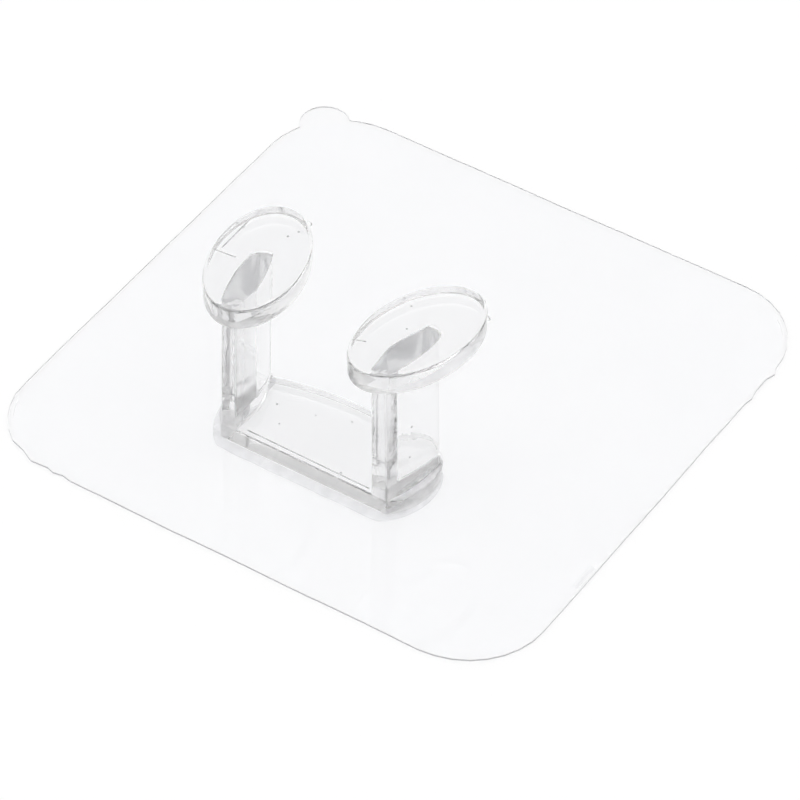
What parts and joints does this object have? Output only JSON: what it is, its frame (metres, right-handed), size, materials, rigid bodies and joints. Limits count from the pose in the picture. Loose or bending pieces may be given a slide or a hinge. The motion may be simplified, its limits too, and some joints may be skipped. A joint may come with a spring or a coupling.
{
  "type": "adhesive cable clip",
  "caption": "Clear square adhesive film carrying a moulded holder: a flat base with upright posts that end in oval heads, to hold or wind a cable.",
  "frame": {"origin": "middle of the adhesive's underside, the face that sticks to the wall", "axes": "+Z off the film towards the heads, -Y the way the holder's flat front faces, +X to the right seen from the front"},
  "size_m": [0.06, 0.06, 0.0197],
  "materials": {
    "clear_plastic": "clear injection moulded plastic, glossy",
    "clear_glue": "clear set glue, smooth",
    "clear_film": "clear plastic film, glossy",
    "soft_adhesive": "clear soft acrylic adhesive"
  },
  "bodies": {
    "root": {"holder": "clear_plastic", "glue_layer": "clear_glue", "backing_film": "clear_film", "adhesive_layer": "soft_adhesive"}
  },
  "joints": []
}
